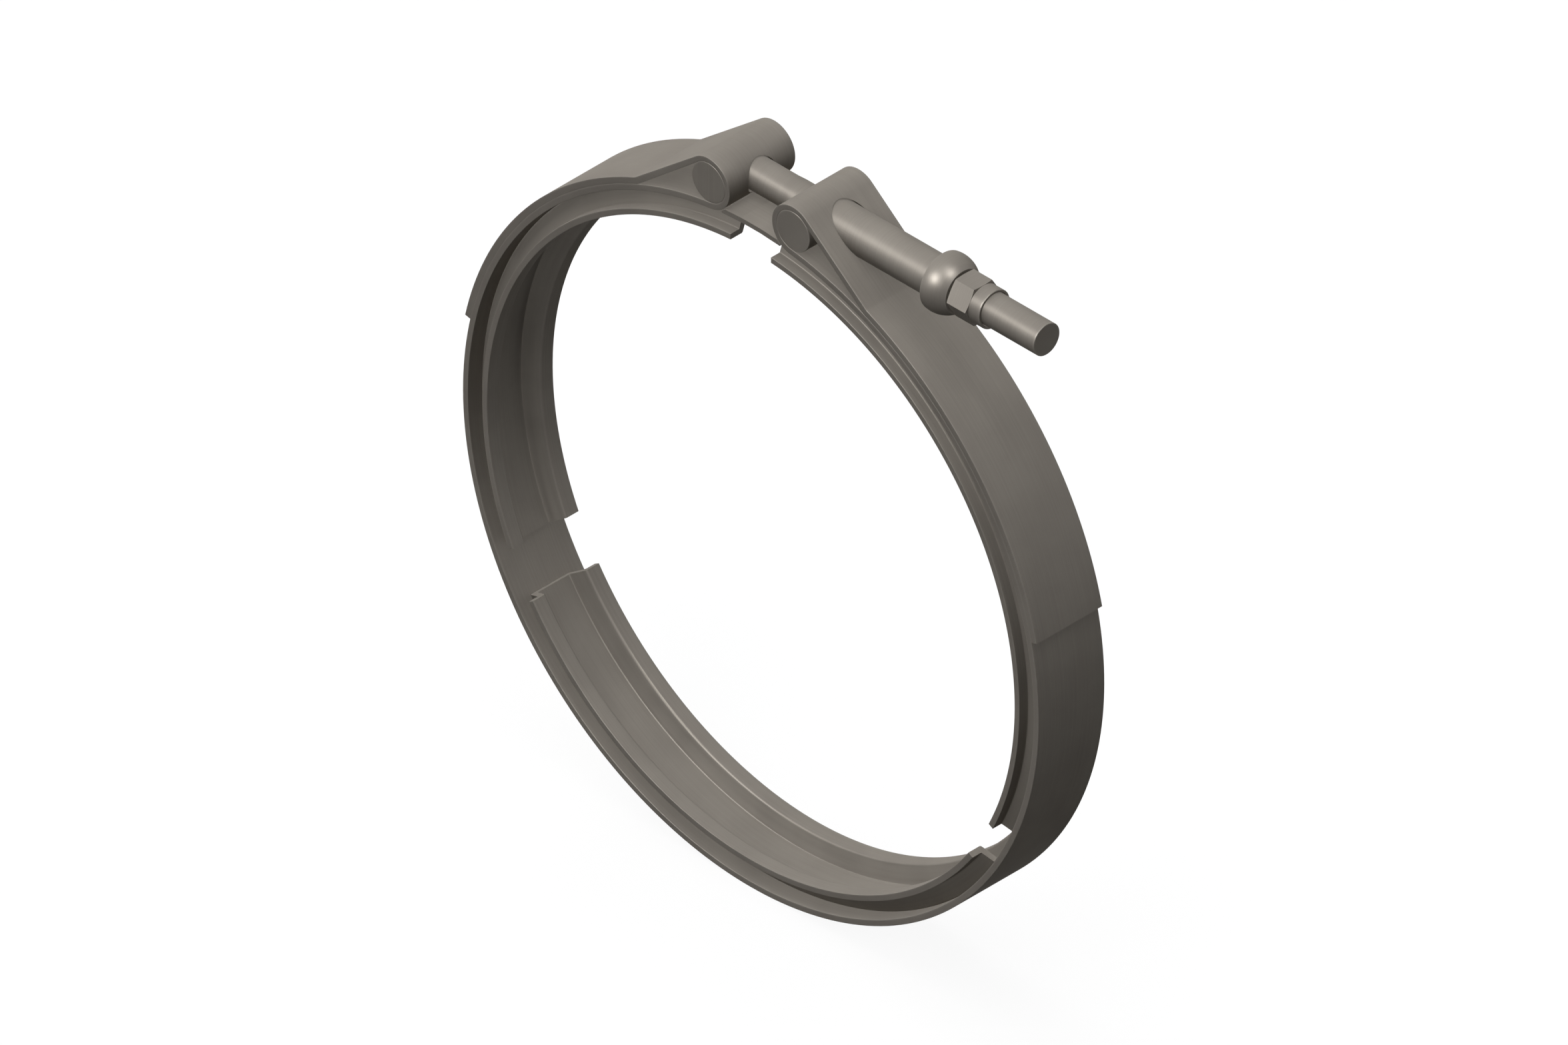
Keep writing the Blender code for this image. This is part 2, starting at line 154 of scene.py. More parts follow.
def soften(
    corners: list[tuple[float, float]],
    radii: list[float],
    steps: int = 3,
    support: float = 0.35 * MM,
    closed: bool = True,
) -> list[tuple[float, float, float]]:
    """Round the corners of a flat outline.

    Args:
        corners: The outline's corners in order.
        radii: The radius of each corner, 0 where it stays as it is.
        steps: How many facets each round gets.
        support: Distance from a round at which an extra point keeps the flat beside it flat.
            A flat of less than three times this length gets none.
        closed: Whether the last corner joins the first.

    Returns:
        Points as (first, second, edge), where edge is 1 on a round and 0 elsewhere.
    """
    made = []
    count = len(corners)
    for i, (corner, radius) in enumerate(zip(corners, radii)):
        here = Vector(corner)
        if radius == 0 or (not closed and i in (0, count - 1)):
            made.append((here.x, here.y, 0.0))
            continue
        before = Vector(corners[i - 1]) - here
        after = Vector(corners[(i + 1) % count]) - here
        half_turn = (math.pi - before.angle(after)) / 2
        setback = radius * math.tan(half_turn)
        start = here + before.normalized() * setback
        stop = here + after.normalized() * setback
        inward = (before.normalized() + after.normalized()).normalized()
        centre = here + inward * (radius / math.cos(half_turn))
        if before.length > 3 * support:
            held = here + before.normalized() * (setback + support)
            made.append((held.x, held.y, 0.0))
        for step in range(steps + 1):
            share = step / steps
            spoke = (start - centre).lerp(stop - centre, share).normalized() * radius
            made.append((centre.x + spoke.x, centre.y + spoke.y, 1.0))
        if after.length > 3 * support:
            held = here + after.normalized() * (setback + support)
            made.append((held.x, held.y, 0.0))
    return made


def bar(
    start: float, stop: float, outer: float, inner: float = 0.0
) -> list[tuple[float, float, float]]:
    """List the profile of a plain bar or tube, with no worn edges.

    Args:
        start: Where it starts along its axis.
        stop: Where it ends.
        outer: Its radius.
        inner: The radius of its bore, 0 for a solid bar.

    Returns:
        Points as (distance along the axis, radius, edge).
    """
    return [(start, inner, 0.0), (start, outer, 0.0), (stop, outer, 0.0), (stop, inner, 0.0)]


def loft(rings: list[list[Vector]], edges: list[float]) -> bmesh.types.BMesh:
    """Skin matched rings of points, and cap both ends.

    Args:
        rings: Rings of points, all of one length.
        edges: For each point of a ring, how much it lies on a worn edge.

    Returns:
        The closed skin, with a layer that keeps the worn edges.
    """
    shape = bmesh.new()
    layer = shape.verts.layers.float.new("edge")
    grid = [[shape.verts.new(point) for point in ring] for ring in rings]
    for row in grid:
        for vert, edge in zip(row, edges):
            vert[layer] = edge
    count = len(edges)
    for here, there in zip(grid, grid[1:]):
        for i in range(count):
            j = (i + 1) % count
            shape.faces.new((here[i], here[j], there[j], there[i]))
    shape.faces.new(grid[0])
    shape.faces.new(grid[-1])
    return shape


def lathe(
    profile: list[tuple[float, float, float]],
    place: Vector,
    axis: Vector,
    bored: bool,
    steps: int = 64,
) -> bmesh.types.BMesh:
    """Turn a profile round an axis into a closed skin.

    Args:
        profile: Points as (distance along the axis, radius, edge).
        place: Where the profile's zero lies.
        axis: Direction of the axis.
        bored: Whether the profile closes on itself, rather than on the axis.
        steps: Facets round the axis.

    Returns:
        The skin, with a layer that keeps the worn edges.
    """
    shape = bmesh.new()
    layer = shape.verts.layers.float.new("edge")
    side = ALONG_Y if abs(axis.x) > 0.5 else ALONG_X
    up = axis.cross(side)
    rows = []
    for along, radius, edge in profile:
        ring = []
        for i in range(steps if radius else 1):
            turn = math.tau * i / steps
            spoke = side * math.cos(turn) + up * math.sin(turn)
            vert = shape.verts.new(place + axis * along + spoke * radius)
            vert[layer] = edge
            ring.append(vert)
        rows.append(ring)
    pairs = list(zip(rows, rows[1:]))
    if bored:
        pairs.append((rows[-1], rows[0]))
    for here, there in pairs:
        for i in range(steps):
            j = (i + 1) % steps
            if len(here) == 1 and len(there) == 1:
                continue
            if len(here) == 1:
                shape.faces.new((here[0], there[j], there[i]))
            elif len(there) == 1:
                shape.faces.new((here[i], here[j], there[0]))
            else:
                shape.faces.new((here[i], here[j], there[j], there[i]))
    return shape


def shade(piece: bpy.types.Object, smooth_below: float = SMOOTH_BELOW) -> None:
    """Turn a closed piece's faces outwards and keep its corners crisp.

    Args:
        piece: The piece.
        smooth_below: Edges that turn less than this are shaded smooth.
    """
    shape = bmesh.new()
    shape.from_mesh(piece.data)
    bmesh.ops.recalc_face_normals(shape, faces=shape.faces)
    shape.to_mesh(piece.data)
    shape.free()
    piece.data.shade_smooth()
    piece.data.set_sharp_from_angle(angle=smooth_below)


def add_piece(
    name: str, shape: bmesh.types.BMesh, material: bpy.types.Material
) -> bpy.types.Object:
    """Turn a bmesh into a shaded object at the origin, its faces pointing out.

    Args:
        name: The piece's name.
        shape: The mesh, which is freed.
        material: The piece's finish.

    Returns:
        The new object.
    """
    mesh = bpy.data.meshes.new(name)
    shape.to_mesh(mesh)
    shape.free()
    mesh.materials.append(material)
    made = bpy.data.objects.new(name, mesh)
    bpy.context.scene.collection.objects.link(made)
    shade(made)
    return made


def plain_copy(source: bpy.types.Object, name: str) -> bpy.types.Object:
    """Replace an object by a plain mesh of what its modifiers make.

    Args:
        source: The object, which is removed.
        name: The name of the new object and mesh.

    Returns:
        The plain object.
    """
    graph = bpy.context.evaluated_depsgraph_get()
    mesh = bpy.data.meshes.new_from_object(source.evaluated_get(graph))
    bpy.data.objects.remove(source, do_unlink=True)
    mesh.name = name
    made = bpy.data.objects.new(name, mesh)
    bpy.context.scene.collection.objects.link(made)
    return made


def carve(
    target: bpy.types.Object, tools: list[bmesh.types.BMesh], kind: Carving = Carving.CUT
) -> bpy.types.Object:
    """Cut tools out of a piece, or fuse them to it, and leave a plain mesh.

    Args:
        target: The piece, which is replaced.
        tools: Closed meshes, which are freed.
        kind: What is done with the tools.

    Returns:
        The carved piece, under the same name.
    """
    name = target.name
    cutters = []
    for i, tool in enumerate(tools):
        bmesh.ops.recalc_face_normals(tool, faces=tool.faces)
        mesh = bpy.data.meshes.new(f"{name}_tool_{i}")
        tool.to_mesh(mesh)
        tool.free()
        mesh.materials.append(target.data.materials[0])
        cutter = bpy.data.objects.new(mesh.name, mesh)
        bpy.context.scene.collection.objects.link(cutter)
        modifier = target.modifiers.new(cutter.name, "BOOLEAN")
        modifier.operation = kind.value
        modifier.solver = "EXACT"
        modifier.object = cutter
        cutters.append(cutter)
    target.name = name + "_blank"
    made = plain_copy(target, name)
    for cutter in cutters:
        bpy.data.objects.remove(cutter, do_unlink=True)
    shade(made)
    return made


def feed(tree: bpy.types.NodeTree, socket: bpy.types.NodeSocket, source: object) -> None:
    """Feed a node's input from another socket, or with a value.

    Args:
        tree: The tree.
        socket: The input.
        source: A socket, a value, or None to leave the input as it is.
    """
    if isinstance(source, bpy.types.NodeSocket):
        tree.links.new(source, socket)
    elif source is not None:
        socket.default_value = source


def math_node(
    tree: bpy.types.NodeTree,
    operation: str,
    first: bpy.types.NodeSocket | float,
    second: bpy.types.NodeSocket | float | None = None,
    clamp: bool = False,
) -> bpy.types.NodeSocket:
    """Add a math node to a tree.

    Args:
        tree: The tree.
        operation: The node's operation.
        first: A socket or number for its first input.
        second: A socket or number for its second input.
        clamp: Whether the result stays between 0 and 1.

    Returns:
        The node's output socket.
    """
    node = tree.nodes.new("ShaderNodeMath")
    node.operation = operation
    node.use_clamp = clamp
    feed(tree, node.inputs[0], first)
    feed(tree, node.inputs[1], second)
    return node.outputs[0]


def roll_tree() -> bpy.types.GeometryNodeTree:
    """Build the node tree that rolls a straight pressing to the ring.

    The straight pressing runs from 0 to 1 along X, and its Z is its distance from the ring's axis.
    Each of its ends comes to lie parallel to the middle of the gap beside it.

    Returns:
        A tree with inputs for the two gaps beside the pressing, their width and the material.
    """
    tree = bpy.data.node_groups.new("roll_to_ring", "GeometryNodeTree")
    face = tree.interface
    for label, kind in (
        ("Pressing", "NodeSocketGeometry"), ("First Gap", "NodeSocketFloat"),
        ("Next Gap", "NodeSocketFloat"), ("Gap Width", "NodeSocketFloat"),
        ("Material", "NodeSocketMaterial"),
    ):
        face.new_socket(label, in_out="INPUT", socket_type=kind)
    face.new_socket("Rolled", in_out="OUTPUT", socket_type="NodeSocketGeometry")
    start = tree.nodes.new("NodeGroupInput")
    end = tree.nodes.new("NodeGroupOutput")
    put = tree.links.new

    spot = tree.nodes.new("GeometryNodeInputPosition")
    split = tree.nodes.new("ShaderNodeSeparateXYZ")
    put(spot.outputs[0], split.inputs[0])
    half = math_node(tree, "MULTIPLY", start.outputs["Gap Width"], 0.5)
    sine = math_node(tree, "DIVIDE", half, split.outputs["Z"])
    inset = math_node(tree, "ARCSINE", sine)
    first = math_node(tree, "ADD", start.outputs["First Gap"], inset)
    last = math_node(tree, "SUBTRACT", start.outputs["Next Gap"], inset)
    sweep = math_node(tree, "SUBTRACT", last, first)
    part = math_node(tree, "MULTIPLY", sweep, split.outputs["X"])
    angle = math_node(tree, "ADD", first, part)
    joined = tree.nodes.new("ShaderNodeCombineXYZ")
    for turned, label in (("COSINE", "X"), ("SINE", "Z")):
        share = math_node(tree, turned, angle)
        put(math_node(tree, "MULTIPLY", share, split.outputs["Z"]), joined.inputs[label])
    put(split.outputs["Y"], joined.inputs["Y"])
    moved = tree.nodes.new("GeometryNodeSetPosition")
    put(start.outputs["Pressing"], moved.inputs["Geometry"])
    put(joined.outputs[0], moved.inputs["Position"])
    real = tree.nodes.new("GeometryNodeRealizeInstances")
    put(moved.outputs["Geometry"], real.inputs["Geometry"])
    dressed = tree.nodes.new("GeometryNodeSetMaterial")
    put(real.outputs["Geometry"], dressed.inputs["Geometry"])
    put(start.outputs["Material"], dressed.inputs["Material"])
    put(dressed.outputs["Geometry"], end.inputs["Rolled"])
    return tree


def effect_group(
    name: str, inputs: dict[str, tuple[str, object]], outputs: dict[str, str]
) -> bpy.types.ShaderNodeTree:
    """Start a shader node group with named sockets.

    Args:
        name: The group's name.
        inputs: Socket types and defaults by name.
        outputs: Socket types by name.

    Returns:
        The empty group, with its input and output nodes.
    """
    tree = bpy.data.node_groups.new(name, "ShaderNodeTree")
    for label, (kind, default) in inputs.items():
        socket = tree.interface.new_socket(label, in_out="INPUT", socket_type=kind)
        if default is not None:
            socket.default_value = default
    for label, kind in outputs.items():
        tree.interface.new_socket(label, in_out="OUTPUT", socket_type=kind)
    tree.nodes.new("NodeGroupInput")
    tree.nodes.new("NodeGroupOutput")
    return tree


def mix_node(
    tree: bpy.types.NodeTree, share: bpy.types.NodeSocket, first: object, second: object
) -> bpy.types.NodeSocket:
    """Add a mix of two colours to a tree.

    Args:
        tree: The tree.
        share: A socket for the second colour's share.
        first: A socket or colour.
        second: A socket or colour.

    Returns:
        The node's output socket.
    """
    node = tree.nodes.new("ShaderNodeMix")
    node.data_type = "RGBA"
    feed(tree, node.inputs["Factor"], share)
    feed(tree, node.inputs["A"], first)
    feed(tree, node.inputs["B"], second)
    return node.outputs["Result"]


def effect_node(
    tree: bpy.types.NodeTree,
    build: Callable[[], bpy.types.ShaderNodeTree],
    **inputs: object,
) -> bpy.types.Node:
    """Place a shared effect in a material, building it the first time.

    Args:
        tree: The material's tree.
        build: The function that builds the effect. The effect has its name.
        **inputs: A socket or value for each of the effect's inputs.

    Returns:
        The effect's node.
    """
    node = tree.nodes.new("ShaderNodeGroup")
    node.node_tree = bpy.data.node_groups.get(build.__name__) or build()
    for label, source in inputs.items():
        feed(tree, node.inputs[label], source)
    return node


def metal_grain() -> bpy.types.ShaderNodeTree:
    """Build the effect of fine parallel marks left by rolling or turning.

    Returns:
        A group that gives a streak mask and a height.
    """
    tree = effect_group(
        "metal_grain",
        {"Vector": ("NodeSocketVector", None), "Stretch": ("NodeSocketVector", (1.0, 1.0, 1.0))},
        {"Streaks": "NodeSocketFloat", "Height": "NodeSocketFloat"},
    )
    start, end = tree.nodes["Group Input"], tree.nodes["Group Output"]
    scaled = tree.nodes.new("ShaderNodeVectorMath")
    scaled.operation = "MULTIPLY"
    tree.links.new(start.outputs["Vector"], scaled.inputs[0])
    tree.links.new(start.outputs["Stretch"], scaled.inputs[1])
    fine = tree.nodes.new("ShaderNodeTexNoise")
    fine.inputs["Scale"].default_value = 1.0
    fine.inputs["Detail"].default_value = 2.0
    fine.inputs["Roughness"].default_value = 0.55
    tree.links.new(scaled.outputs[0], fine.inputs["Vector"])
    spread = tree.nodes.new("ShaderNodeMapRange")
    spread.inputs["From Min"].default_value = 0.3
    spread.inputs["From Max"].default_value = 0.7
    tree.links.new(fine.outputs["Fac"], spread.inputs["Value"])
    tree.links.new(spread.outputs["Result"], end.inputs["Streaks"])
    tree.links.new(fine.outputs["Fac"], end.inputs["Height"])
    return tree


def metal_mottle() -> bpy.types.ShaderNodeTree:
    """Build the effect of slow, cloudy change over a metal surface.

    Returns:
        A group that gives a mask between 0 and 1.
    """
    tree = effect_group(
        "metal_mottle",
        {"Vector": ("NodeSocketVector", None), "Scale": ("NodeSocketFloat", 60.0)},
        {"Mask": "NodeSocketFloat"},
    )
    start, end = tree.nodes["Group Input"], tree.nodes["Group Output"]
    cloud = tree.nodes.new("ShaderNodeTexNoise")
    cloud.inputs["Detail"].default_value = 3.0
    cloud.inputs["Roughness"].default_value = 0.55
    tree.links.new(start.outputs["Vector"], cloud.inputs["Vector"])
    tree.links.new(start.outputs["Scale"], cloud.inputs["Scale"])
    spread = tree.nodes.new("ShaderNodeMapRange")
    spread.interpolation_type = "SMOOTHSTEP"
    spread.inputs["From Min"].default_value = 0.32
    spread.inputs["From Max"].default_value = 0.68
    tree.links.new(cloud.outputs["Fac"], spread.inputs["Value"])
    tree.links.new(spread.outputs["Result"], end.inputs["Mask"])
    return tree


def edge_wear() -> bpy.types.ShaderNodeTree:
    """Build the effect of edges rubbed bright, from each piece's own edge attribute.

    Returns:
        A group that gives a mask between 0 and 1.
    """
    tree = effect_group(
        "edge_wear",
        {"Vector": ("NodeSocketVector", None), "Amount": ("NodeSocketFloat", 0.5)},
        {"Mask": "NodeSocketFloat"},
    )
    start, end = tree.nodes["Group Input"], tree.nodes["Group Output"]
    edge = tree.nodes.new("ShaderNodeAttribute")
    edge.attribute_name = "edge"
    breakup = tree.nodes.new("ShaderNodeTexNoise")
    breakup.inputs["Scale"].default_value = 320.0
    breakup.inputs["Detail"].default_value = 4.0
    tree.links.new(start.outputs["Vector"], breakup.inputs["Vector"])
    patchy = math_node(tree, "MULTIPLY", edge.outputs["Fac"], breakup.outputs["Fac"])
    raised = math_node(tree, "MULTIPLY", patchy, WEAR_GAIN)
    mask = math_node(tree, "MULTIPLY", raised, start.outputs["Amount"], clamp=True)
    tree.links.new(mask, end.inputs["Mask"])
    return tree


@dataclass(frozen=True)
class MetalFinish:
    """A bare metal finish: its colours, gloss and tool marks."""

    name: str
    slot: str
    worn: tuple[float, float, float]
    metallic: float
    roughness: float
    streak_roughness: float
    stretch: tuple[float, float, float]
    bump: float
    dark: tuple[float, float, float] = (0.150, 0.137, 0.121)
    light: tuple[float, float, float] = (0.174, 0.160, 0.141)
    grazing: tuple[float, float, float] = (0.2, 0.2, 0.2)
    grain_share: float = 0.55
    cloud_roughness: float = 0.05
    rubbed_roughness: float = -0.1
    bump_height: float = 0.05 * MM
    mottle_scale: float = 70.0
    wear: float = 0.14

    def material(self) -> bpy.types.Material:
        """Build the finish as a node material.

        Returns:
            The material.
        """
        made = bpy.data.materials.new(self.name)
        made.use_nodes = True
        tree = made.node_tree
        shader = tree.nodes["Principled BSDF"]
        shader.inputs["Metallic"].default_value = self.metallic
        shader.inputs["Specular IOR Level"].default_value = 0.0
        shader.inputs["Specular Tint"].default_value = (*self.grazing, 1.0)
        place = tree.nodes.new("ShaderNodeTexCoord").outputs["Object"]
        grain = effect_node(tree, metal_grain, Vector=place, Stretch=self.stretch)
        mottle = effect_node(tree, metal_mottle, Vector=place, Scale=self.mottle_scale)
        wear = effect_node(tree, edge_wear, Vector=place, Amount=self.wear)
        streaks = grain.outputs["Streaks"]
        cloud = mottle.outputs["Mask"]
        rubbed = wear.outputs["Mask"]

        fine = math_node(tree, "MULTIPLY", streaks, self.grain_share)
        slow = math_node(tree, "MULTIPLY", cloud, 1.0 - self.grain_share)
        tone = math_node(tree, "ADD", fine, slow, clamp=True)
        body = mix_node(tree, tone, (*self.dark, 1.0), (*self.light, 1.0))
        colour = mix_node(tree, rubbed, body, (*self.worn, 1.0))
        tree.links.new(colour, shader.inputs["Base Color"])

        swing = math_node(tree, "SUBTRACT", streaks, 0.5)
        uneven = math_node(tree, "MULTIPLY", swing, self.streak_roughness)
        cloudy = math_node(tree, "MULTIPLY", cloud, self.cloud_roughness)
        both = math_node(tree, "ADD", uneven, cloudy)
        rough = math_node(tree, "ADD", both, self.roughness)
        polish = math_node(tree, "MULTIPLY", rubbed, self.rubbed_roughness)
        final = math_node(tree, "ADD", rough, polish, clamp=True)
        tree.links.new(final, shader.inputs["Roughness"])

        bump = tree.nodes.new("ShaderNodeBump")
        bump.inputs["Strength"].default_value = self.bump
        bump.inputs["Distance"].default_value = self.bump_height
        tree.links.new(grain.outputs["Height"], bump.inputs["Height"])
        tree.links.new(bump.outputs["Normal"], shader.inputs["Normal"])
        return made


STRIP = MetalFinish(
    name="rolled_stainless_strip",
    slot="stainless_strip",
    worn=(0.26, 0.24, 0.215),
    metallic=0.18,
    roughness=0.45,
    streak_roughness=0.08,
    stretch=(25.0, 2600.0, 25.0),
    bump=0.06,
)
TURNED_ALONG_BOLT = MetalFinish(
    name="turned_steel_bolt",
    slot="turned_steel",
    worn=(0.30, 0.28, 0.25),
    metallic=0.22,
    roughness=0.42,
    streak_roughness=0.06,
    stretch=(2400.0, 40.0, 40.0),
    bump=0.05,
)
TURNED_ALONG_PIPE = replace(TURNED_ALONG_BOLT, name="turned_steel_pins", stretch=(40.0, 2400.0, 40.0))


@dataclass
class StrapHalf:
    """Half of the strap: one strip from the bottom, round its loop and down as the lap."""

    side: Side
    plan: Plan = PLAN
    edge_radius: float = 0.06 * MM
    arc_step: float = math.radians(1.5)
    loop_step: float = math.radians(5.0)
    crease: float = 0.25 * MM
    bolt_clearance: float = 0.3 * MM
    sleeve_clearance: float = 0.1 * MM
    sleeve_hole_start: float = 1.6 * MM
    sleeve_hole_end: float = 34.0 * MM
    hole_steps: int = 72

    def leg_angles(self) -> tuple[float, float]:
        """Find the right leg's outward normal, and where its underside meets the ring.

        The leg's outside starts where the lap ends at the top and touches the loop.

        Returns:
            The normal's angle and the ring angle of the meeting point.
        """
        plan = self.plan
        landing = polar(plan.lap_outer, TOP - plan.leg_half_angle)
        to_pin = plan.pin - landing
        rise = math.atan2(to_pin.z, to_pin.x) - math.asin(plan.loop_outer / to_pin.length)
        normal = rise - math.pi / 2
        underside = landing - polar(plan.lap_outer - plan.lap_inner, normal)
        run = polar(1.0, rise)
        along = underside.dot(run)
        beyond = underside.length_squared - plan.lap_inner**2
        apex = underside + run * (math.sqrt(along**2 - beyond) - along)
        return normal, math.atan2(apex.z, apex.x)

    def ring_run(self) -> list[tuple[Vector, Vector]]:
        """List matched points from the bottom of the ring to the loop.

        Returns:
            Pairs of points on the outside and the inside of the ring.
        """
        plan = self.plan
        made = []
        count = math.ceil((plan.pin_angle + TOP) / self.arc_step)
        for i in range(count + 1):
            angle = -TOP + (plan.pin_angle + TOP) * i / count
            made.append((polar(plan.ring_outer, angle), polar(plan.ring_inner, angle)))
        return made

    def loop_run(self, leg_normal: float) -> list[tuple[Vector, Vector]]:
        """List matched points round the loop, where the strip eases into its thickness.

        Args:
            leg_normal: Outward normal of the leg, where the loop ends.

        Returns:
            Pairs of points on the inside and the outside of the loop.
        """
        plan = self.plan
        start, stop = plan.pin_angle - math.pi, leg_normal - math.tau
        first_outer = plan.pin_ring_radius - plan.ring_inner
        inner = plan.loop_inner
        made = []
        count = math.ceil(abs(stop - start) / self.loop_step)
        for i in range(1, count + 1):
            angle = start + (stop - start) * i / count
            ease = min(1.0, abs(angle - start) / TOP)
            outer = first_outer + (plan.loop_outer - first_outer) * ease * ease * (3 - 2 * ease)
            made.append((plan.pin + polar(inner, angle), plan.pin + polar(outer, angle)))
        return made

    def lap_run(
        self, leg_inner: Vector, leg_outer: Vector, apex_angle: float
    ) -> list[tuple[Vector, Vector]]:
        """List matched points down the leg and along the lap to its end.

        Args:
            leg_inner: Where the leg's underside leaves the loop.
            leg_outer: Where its outside does.
            apex_angle: Ring angle at which the underside meets the ring.

        Returns:
            Pairs of points on the underside and the outside.
        """
        plan = self.plan
        landing = TOP - plan.leg_half_angle
        lap_end = TOP - plan.lap_half_angle
        apex = polar(plan.lap_inner, apex_angle)
        corner = polar(plan.lap_outer, landing)
        back = (leg_inner - apex).normalized() * self.crease
        made = [
            (leg_inner.lerp(apex, 0.5), leg_outer.lerp(corner, 0.5)),
            (apex + back * 2, corner + back * 2),
            (apex + back, corner + back),
        ]
        step_angle = self.crease / plan.lap_outer
        count = math.ceil((landing - lap_end) / self.arc_step)
        for i in range(count + 1):
            share = i / count
            inner = apex_angle - step_angle + (lap_end - apex_angle + step_angle) * share
            outer = landing - step_angle + (lap_end - landing + step_angle) * share
            made.append((polar(plan.lap_inner, inner), polar(plan.lap_outer, outer)))
        return made

    def stations(self) -> list[tuple[Vector, Vector]]:
        """List matched points on the strip's two faces, on this half's side.

        Returns:
            Pairs of points in the XZ plane, from the bottom of the ring to the lap's end.
        """
        leg_normal, apex_angle = self.leg_angles()
        made = self.ring_run() + self.loop_run(leg_normal)
        made += self.lap_run(*made[-1], apex_angle)
        flip = Vector((self.side.value, 1.0, 1.0))
        return [(first * flip, second * flip) for first, second in made]

    def strip(self, material: bpy.types.Material) -> bpy.types.Object:
        """Build the strip without its hole.

        Args:
            material: The strip's finish.

        Returns:
            The strip.
        """
        half = self.plan.strap_width / 2
        rings = []
        edges = []
        for first, second in self.stations():
            thickness = (second - first).length
            through = (second - first).normalized()
            outline = soften(
                [(0.0, -half), (thickness, -half), (thickness, half), (0.0, half)],
                [self.edge_radius] * 4,
            )
            rings.append([first + through * depth + ALONG_Y * y for depth, y, _ in outline])
            edges = [edge for _, _, edge in outline]
        name = f"strap_{self.side.name.lower()}_strip"
        return add_piece(name, loft(rings, edges), material)

    def bolt_way(self, tilt: float) -> bmesh.types.BMesh:
        """Make the tool for the hole that the bolt, or the bolt and sleeve, run through.

        Args:
            tilt: How far the bolt is turned in its loop, in radians.

        Returns:
            The tool, a bar along the bolt.
        """
        plan = self.plan
        bolt_hole = plan.bolt_radius + self.bolt_clearance
        reach = 2 * plan.loop_outer
        if self.side is Side.LEFT:
            profile = bar(0.0, reach, bolt_hole)
        else:
            thin = bar(-reach, self.sleeve_hole_start, bolt_hole)
            sleeve_hole = plan.sleeve_radius + self.sleeve_clearance
            thick = bar(self.sleeve_hole_start, self.sleeve_hole_end, sleeve_hole)
            profile = thin[:-1] + thick[1:]
        axis = Matrix.Rotation(-self.side.value * tilt, 3, "Y") @ ALONG_X
        place = Vector((self.side.value * plan.pin_x, 0.0, plan.pin_z))
        return lathe(profile, place, axis, bored=False, steps=self.hole_steps)

    def build(self, material: bpy.types.Material) -> bpy.types.Object:
        """Build the strip and its hole, and hide the carried-over solids that it takes the place of.

        Args:
            material: The strip's finish.

        Returns:
            The piece.
        """
        plan = self.plan
        piece = self.strip(material)
        piece = carve(piece, [self.bolt_way(0.0), self.bolt_way(plan.arm_swing)])
        along = polar(plan.flex_half_length, RIGHT_GAP + math.pi / 2)
        node = "strap_left" if self.side is Side.LEFT else "strap_right"
        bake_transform(piece)
        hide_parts("strap_bottom", node)
        return piece


@dataclass
class Retainer:
    """One V-section retainer, between two gaps of the ring."""

    node: str
    body: str
    first_gap: float
    next_gap: float
    plan: Plan = PLAN
    thickness: float = 1.45 * MM
    gap: float = 12.4 * MM
    back_radius: float = 86.62 * MM
    lip_inner: float = 80.75 * MM
    groove_width: float = 9.55 * MM
    flank_angle: float = math.radians(20.0)
    bend_inside: float = 0.2 * MM
    bend_outside: float = 0.5 * MM
    support: float = 0.3 * MM
    edge_radius: float = 0.06 * MM
    arc_step: float = math.radians(1.5)
    smooth_below: float = math.radians(40)

    def section(self) -> list[tuple[float, float, float]]:
        """Draw the outline of the bent sheet, one half and its mirror image.

        Returns:
            Points as (distance along Y, radius, edge), where edge is 1 on the sheet's cut edges.
        """
        inside = self.back_radius - self.thickness
        lip_back = self.lip_inner + self.thickness
        slope = math.tan(self.flank_angle)
        across = self.thickness / math.cos(self.flank_angle)
        edge = self.plan.strap_width / 2

        def flank(radius: float) -> float:
            """Distance along Y of the flank's face in the groove."""
            return self.groove_width / 2 + (inside - radius) * slope

        half = [
            (flank(self.back_radius) + across, self.back_radius, self.bend_outside),
            (flank(lip_back) + across, lip_back, self.bend_inside),
            (edge, lip_back, self.edge_radius),
            (edge, self.lip_inner, self.edge_radius),
            (flank(self.lip_inner), self.lip_inner, self.bend_outside),
            (flank(inside), inside, self.bend_inside),
        ]
        whole = [(-along, radius, bend) for along, radius, bend in reversed(half)] + half
        corners = [corner[:2] for corner in whole]
        rounded = soften(corners, [corner[2] for corner in whole], support=self.support)
        rim = edge - self.thickness
        return [
            (along, radius, worn if abs(along) > rim else 0.0) for along, radius, worn in rounded
        ]

    def build(self, material: bpy.types.Material) -> bpy.types.Object:
        """Roll the section between its gaps, with both ends cut parallel to the gaps' middles.

        Args:
            material: The sheet's finish.

        Returns:
            The piece.
        """
        section = self.section()
        count = math.ceil((self.next_gap - self.first_gap) / self.arc_step)
        rings = [
            [Vector((i / count, along, radius)) for along, radius, _ in section]
            for i in range(count + 1)
        ]
        shape = loft(rings, [edge for _, _, edge in section])
        name = f"{self.node}_pressing"
        straight = add_piece(name + "_blank", shape, material)
        tree = bpy.data.node_groups.get("roll_to_ring") or roll_tree()
        modifier = straight.modifiers.new("roll", "NODES")
        modifier.node_group = tree
        values = {
            "First Gap": self.first_gap, "Next Gap": self.next_gap,
            "Gap Width": self.gap, "Material": material,
        }
        for item in tree.interface.items_tree:
            if item.in_out == "INPUT" and item.name in values:
                modifier[item.identifier] = values[item.name]
        piece = plain_copy(straight, name)
        shade(piece, self.smooth_below)
        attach(piece, self.body)
        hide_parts(self.node)
        return piece


